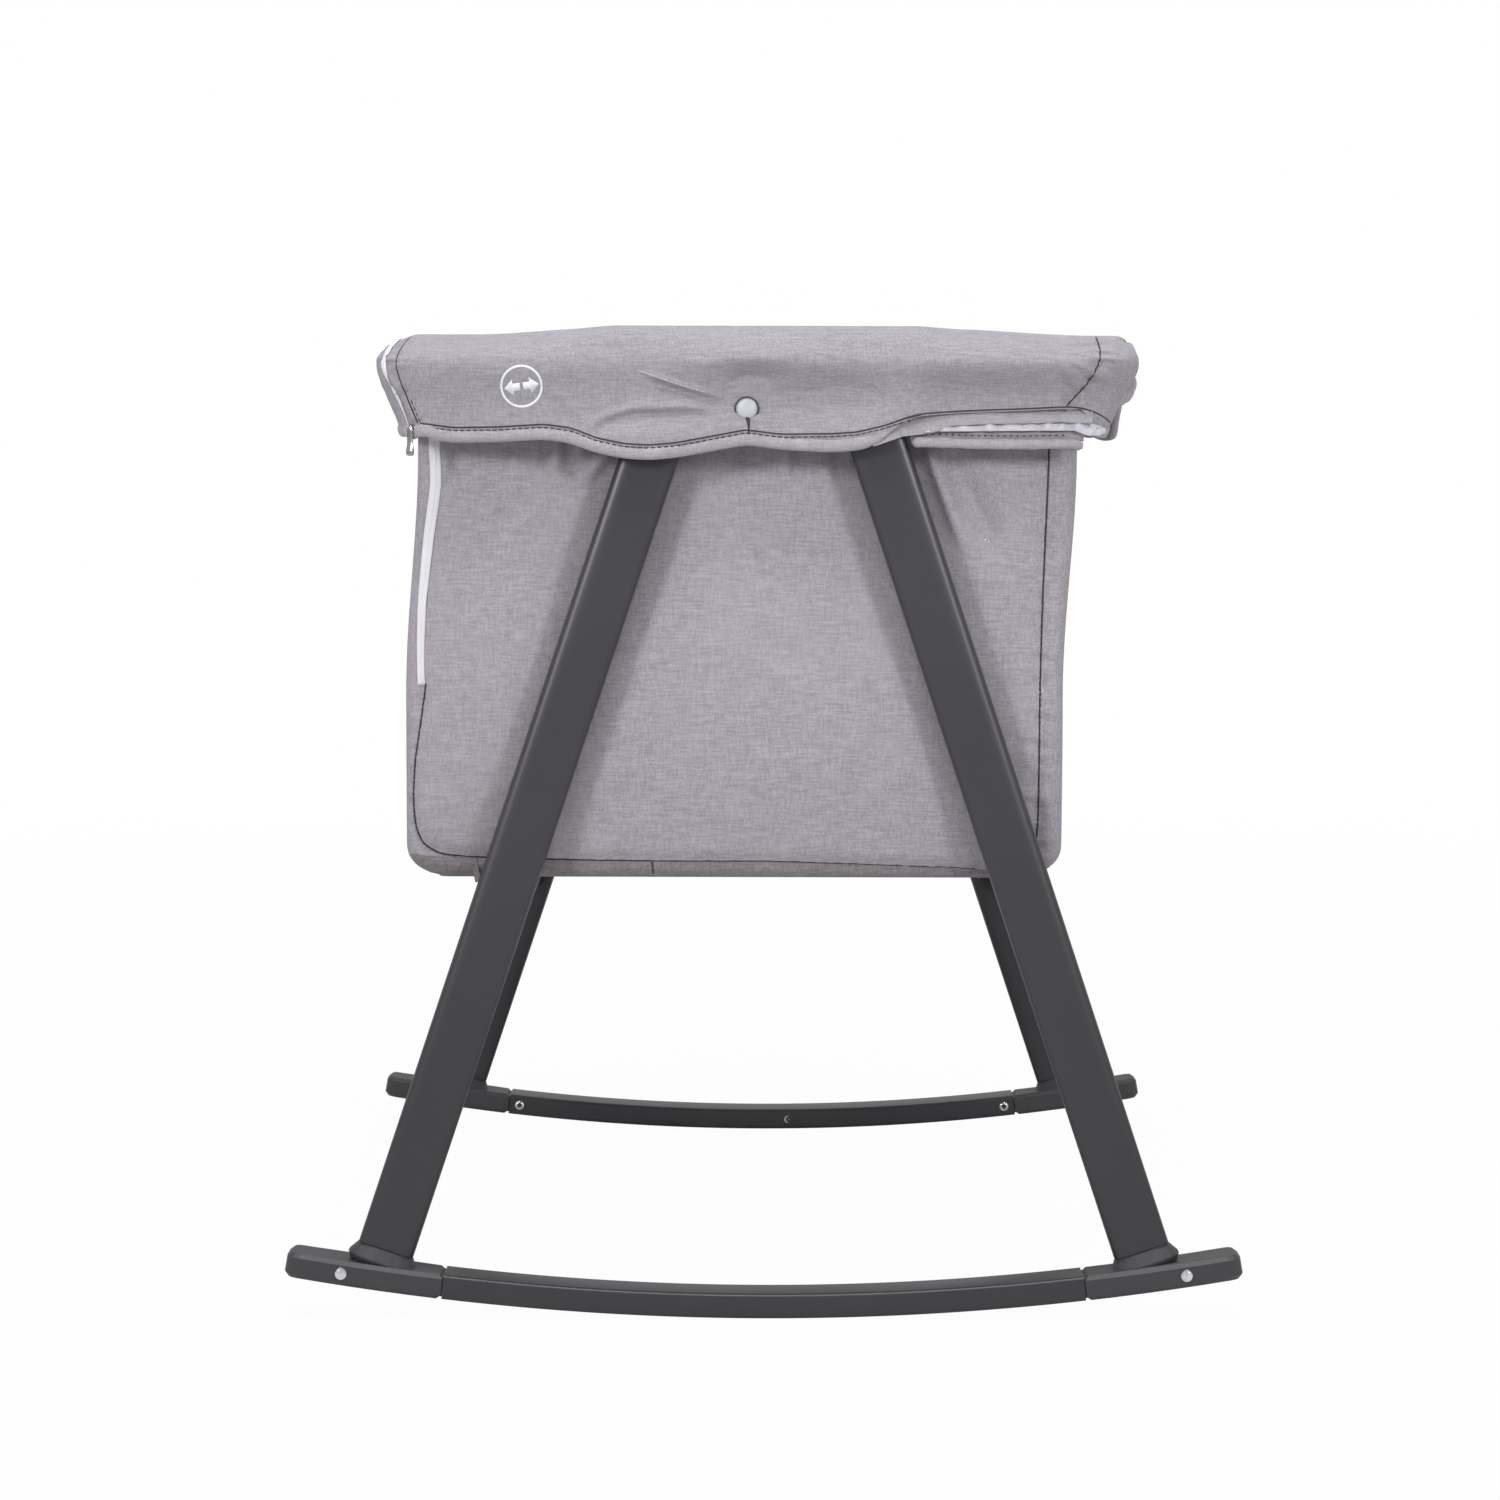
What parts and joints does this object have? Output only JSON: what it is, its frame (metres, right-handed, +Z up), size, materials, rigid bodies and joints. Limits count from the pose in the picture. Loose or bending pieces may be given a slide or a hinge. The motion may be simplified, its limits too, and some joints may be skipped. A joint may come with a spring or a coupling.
{
  "type": "bassinet on stand",
  "caption": "Rocking bassinet: a padded fabric tub hung between two leaning-leg frames on curved rockers, folding flat end to end.",
  "frame": {"origin": "on the floor under the middle of the bassinet", "axes": "+X across the rockers, +Y along the tub from the near end to the far end, +Z up"},
  "size_m": [0.6914, 0.8798, 0.714],
  "materials": {
    "frame_tube": "satin charcoal powder coat",
    "foot_plastic": "fine-textured charcoal moulding",
    "hidden_plastic": "plain dark moulding",
    "bare_aluminium": "brushed tube",
    "flat_bar": "satin charcoal flat bar",
    "polished_steel": "polished rivets and pins",
    "linen": "heather linen weave",
    "collar_linen": "padded heather linen weave with a finer binding",
    "mattress_cover": "quilted cotton",
    "white_nylon": "smooth white cap",
    "zip_tape": "white woven tape",
    "nickel": "nickel zip hardware"
  },
  "bodies": {
    "near_frame": {"near_rocker_tube": "frame_tube", "near_top_bracket": "hidden_plastic", "near_end_rail": "bare_aluminium", "near_end_panel": "linen", "near_end_collar": "collar_linen", "near_snap_button": "white_nylon", "near_leg_left": "frame_tube", "near_foot_left": "foot_plastic", "near_flip_pin_left": "polished_steel", "near_corner_left": "hidden_plastic", "near_stay_boss_left": "hidden_plastic", "near_leg_right": "frame_tube", "near_foot_right": "foot_plastic", "near_flip_pin_right": "polished_steel", "near_corner_right": "hidden_plastic", "near_stay_boss_right": "hidden_plastic", "side_panel_left": "linen", "side_panel_right": "linen", "side_collar_left": "collar_linen", "side_collar_right": "collar_linen", "corner_zip_tape": "zip_tape"},
    "far_frame": {"far_rocker_tube": "frame_tube", "far_top_bracket": "hidden_plastic", "far_end_rail": "bare_aluminium", "far_end_panel": "linen", "far_end_collar": "collar_linen", "far_snap_button": "white_nylon", "far_leg_left": "frame_tube", "far_foot_left": "foot_plastic", "far_flip_pin_left": "polished_steel", "far_corner_left": "hidden_plastic", "far_stay_boss_left": "hidden_plastic", "far_leg_right": "frame_tube", "far_foot_right": "foot_plastic", "far_flip_pin_right": "polished_steel", "far_corner_right": "hidden_plastic", "far_stay_boss_right": "hidden_plastic"},
    "near_stay_left": {"near_stay_left": "flat_bar", "knuckle_pin_left": "polished_steel"},
    "far_stay_left": {"far_stay_left": "flat_bar"},
    "latch_block_left": {"latch_block_left": "hidden_plastic"},
    "latch_button_left": {"latch_button_left": "hidden_plastic"},
    "near_side_rail_left": {"near_side_rail_left": "bare_aluminium"},
    "near_flip_foot_left": {"near_flip_foot_left": "foot_plastic"},
    "far_side_rail_left": {"far_side_rail_left": "bare_aluminium"},
    "far_flip_foot_left": {"far_flip_foot_left": "foot_plastic"},
    "near_stay_right": {"near_stay_right": "flat_bar", "knuckle_pin_right": "polished_steel"},
    "far_stay_right": {"far_stay_right": "flat_bar"},
    "latch_block_right": {"latch_block_right": "hidden_plastic"},
    "latch_button_right": {"latch_button_right": "hidden_plastic"},
    "near_side_rail_right": {"near_side_rail_right": "bare_aluminium"},
    "near_flip_foot_right": {"near_flip_foot_right": "foot_plastic"},
    "far_side_rail_right": {"far_side_rail_right": "bare_aluminium"},
    "far_flip_foot_right": {"far_flip_foot_right": "foot_plastic"},
    "near_floor": {"near_floor_board": "linen", "near_mattress_pad": "mattress_cover"},
    "far_floor": {"far_floor_board": "linen", "far_mattress_pad": "mattress_cover"},
    "zip_puller": {"zip_puller": "nickel"}
  },
  "joints": [
    {"name": "stand_fold", "type": "hinge", "parent": "near_frame", "child": "near_stay_right", "pos_m": [0.21117, -0.355, 0.234], "axis": [0.9489, 0, 0.3156], "range_deg": [0, 83], "deforming": ["side_panel_left", "side_panel_right", "side_collar_left", "side_collar_right"]},
    {"name": "knuckle_right", "type": "hinge", "parent": "near_stay_right", "child": "far_stay_right", "pos_m": [0.21117, 0, 0.234], "axis": [0.9489, 0, 0.3156], "range_deg": [-166, 0]},
    {"name": "far_frame_hinge", "type": "hinge", "parent": "far_stay_right", "child": "far_frame", "pos_m": [0.21117, 0.355, 0.234], "axis": [0.9489, 0, 0.3156], "range_deg": [0, 83]},
    {"name": "near_stay_left_hinge", "type": "hinge", "parent": "near_frame", "child": "near_stay_left", "pos_m": [-0.21117, -0.355, 0.234], "axis": [0.9489, 0, -0.3156], "range_deg": [0, 83]},
    {"name": "knuckle_left", "type": "hinge", "parent": "near_stay_left", "child": "far_stay_left", "pos_m": [-0.21117, 0, 0.234], "axis": [0.9489, 0, -0.3156], "range_deg": [-166, 0]},
    {"name": "near_rail_left_hinge", "type": "hinge", "parent": "near_frame", "child": "near_side_rail_left", "pos_m": [-0.25, -0.375, 0.697], "axis": [-1, 0, 0], "range_deg": [0, 83]},
    {"name": "latch_block_left_hinge", "type": "hinge", "parent": "near_side_rail_left", "child": "latch_block_left", "pos_m": [-0.25, -0.02, 0.697], "axis": [1, 0, 0], "range_deg": [0, 83]},
    {"name": "far_rail_left_hinge", "type": "hinge", "parent": "far_frame", "child": "far_side_rail_left", "pos_m": [-0.25, 0.375, 0.697], "axis": [1, 0, 0], "range_deg": [0, 83]},
    {"name": "latch_button_left_press", "type": "slide", "parent": "latch_block_left", "child": "latch_button_left", "axis": [0, 0, 1], "range_m": [0, 0.005], "stiffness_N_per_m": 400, "springref_m": -0.003},
    {"name": "near_rail_right_hinge", "type": "hinge", "parent": "near_frame", "child": "near_side_rail_right", "pos_m": [0.25, -0.375, 0.697], "axis": [-1, 0, 0], "range_deg": [0, 83]},
    {"name": "latch_block_right_hinge", "type": "hinge", "parent": "near_side_rail_right", "child": "latch_block_right", "pos_m": [0.25, -0.02, 0.697], "axis": [1, 0, 0], "range_deg": [0, 83]},
    {"name": "far_rail_right_hinge", "type": "hinge", "parent": "far_frame", "child": "far_side_rail_right", "pos_m": [0.25, 0.375, 0.697], "axis": [1, 0, 0], "range_deg": [0, 83]},
    {"name": "latch_button_right_press", "type": "slide", "parent": "latch_block_right", "child": "latch_button_right", "axis": [0, 0, 1], "range_m": [0, 0.005], "stiffness_N_per_m": 400, "springref_m": -0.003},
    {"name": "near_floor_hinge", "type": "hinge", "parent": "near_frame", "child": "near_floor", "pos_m": [0, -0.3752, 0.325], "axis": [1, 0, 0], "range_deg": [0, 83]},
    {"name": "far_floor_hinge", "type": "hinge", "parent": "far_frame", "child": "far_floor", "pos_m": [0, 0.3752, 0.325], "axis": [-1, 0, 0], "range_deg": [0, 83]},
    {"name": "near_flip_foot_left_hinge", "type": "hinge", "parent": "near_frame", "child": "near_flip_foot_left", "pos_m": [-0.30442, -0.415, 0.03233], "axis": [0, -1, 0], "range_deg": [0, 98.8]},
    {"name": "near_flip_foot_right_hinge", "type": "hinge", "parent": "near_frame", "child": "near_flip_foot_right", "pos_m": [0.30442, -0.415, 0.03233], "axis": [0, 1, 0], "range_deg": [0, 98.8]},
    {"name": "far_flip_foot_left_hinge", "type": "hinge", "parent": "far_frame", "child": "far_flip_foot_left", "pos_m": [-0.30442, 0.415, 0.03233], "axis": [0, -1, 0], "range_deg": [0, 98.8]},
    {"name": "far_flip_foot_right_hinge", "type": "hinge", "parent": "far_frame", "child": "far_flip_foot_right", "pos_m": [0.30442, 0.415, 0.03233], "axis": [0, 1, 0], "range_deg": [0, 98.8]},
    {"name": "zip_puller_swing", "type": "hinge", "parent": "near_frame", "child": "zip_puller", "pos_m": [-0.25463, -0.43201, 0.639], "axis": [-0.8387, 0.5446, 0], "range_deg": [0, 120]}
  ],
  "couplings": [
    {"joint": "knuckle_right", "follows": "stand_fold", "ratio": -2},
    {"joint": "far_frame_hinge", "follows": "stand_fold", "ratio": 1},
    {"joint": "near_stay_left_hinge", "follows": "stand_fold", "ratio": 1},
    {"joint": "knuckle_left", "follows": "stand_fold", "ratio": -2},
    {"joint": "near_rail_left_hinge", "follows": "stand_fold", "ratio": 1},
    {"joint": "latch_block_left_hinge", "follows": "stand_fold", "ratio": 1},
    {"joint": "far_rail_left_hinge", "follows": "stand_fold", "ratio": 1},
    {"joint": "near_rail_right_hinge", "follows": "stand_fold", "ratio": 1},
    {"joint": "latch_block_right_hinge", "follows": "stand_fold", "ratio": 1},
    {"joint": "far_rail_right_hinge", "follows": "stand_fold", "ratio": 1},
    {"joint": "near_floor_hinge", "follows": "stand_fold", "ratio": 1},
    {"joint": "far_floor_hinge", "follows": "stand_fold", "ratio": 1}
  ]
}
